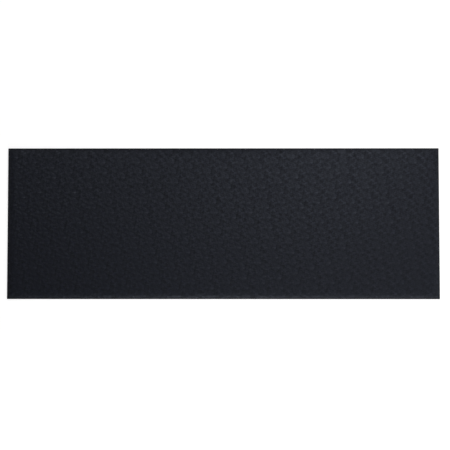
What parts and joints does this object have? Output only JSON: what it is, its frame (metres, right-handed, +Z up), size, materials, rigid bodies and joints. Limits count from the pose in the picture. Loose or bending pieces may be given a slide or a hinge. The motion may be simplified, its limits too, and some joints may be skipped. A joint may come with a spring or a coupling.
{
  "type": "anti fatigue mat",
  "caption": "Long rectangular anti fatigue floor mat, black pebble-embossed vinyl over a foam core, bevelled on all sides, with a non-slip backing.",
  "frame": {"origin": "centre of the underside, where the mat lies on the floor", "axes": "+X along the length, +Y across the width, +Z up out of the standing surface"},
  "size_m": [1.745, 0.61, 0.0127],
  "materials": {
    "wear_vinyl": "pebble embossed, low sheen",
    "bond_film": "translucent hot-melt film",
    "foam": "closed-cell sponge",
    "grip_backing": "matt, fine non-slip emboss"
  },
  "bodies": {
    "root": {"wear_surface": "wear_vinyl", "upper_bond_film": "bond_film", "foam_core": "foam", "lower_bond_film": "bond_film", "grip_base": "grip_backing"}
  },
  "joints": []
}
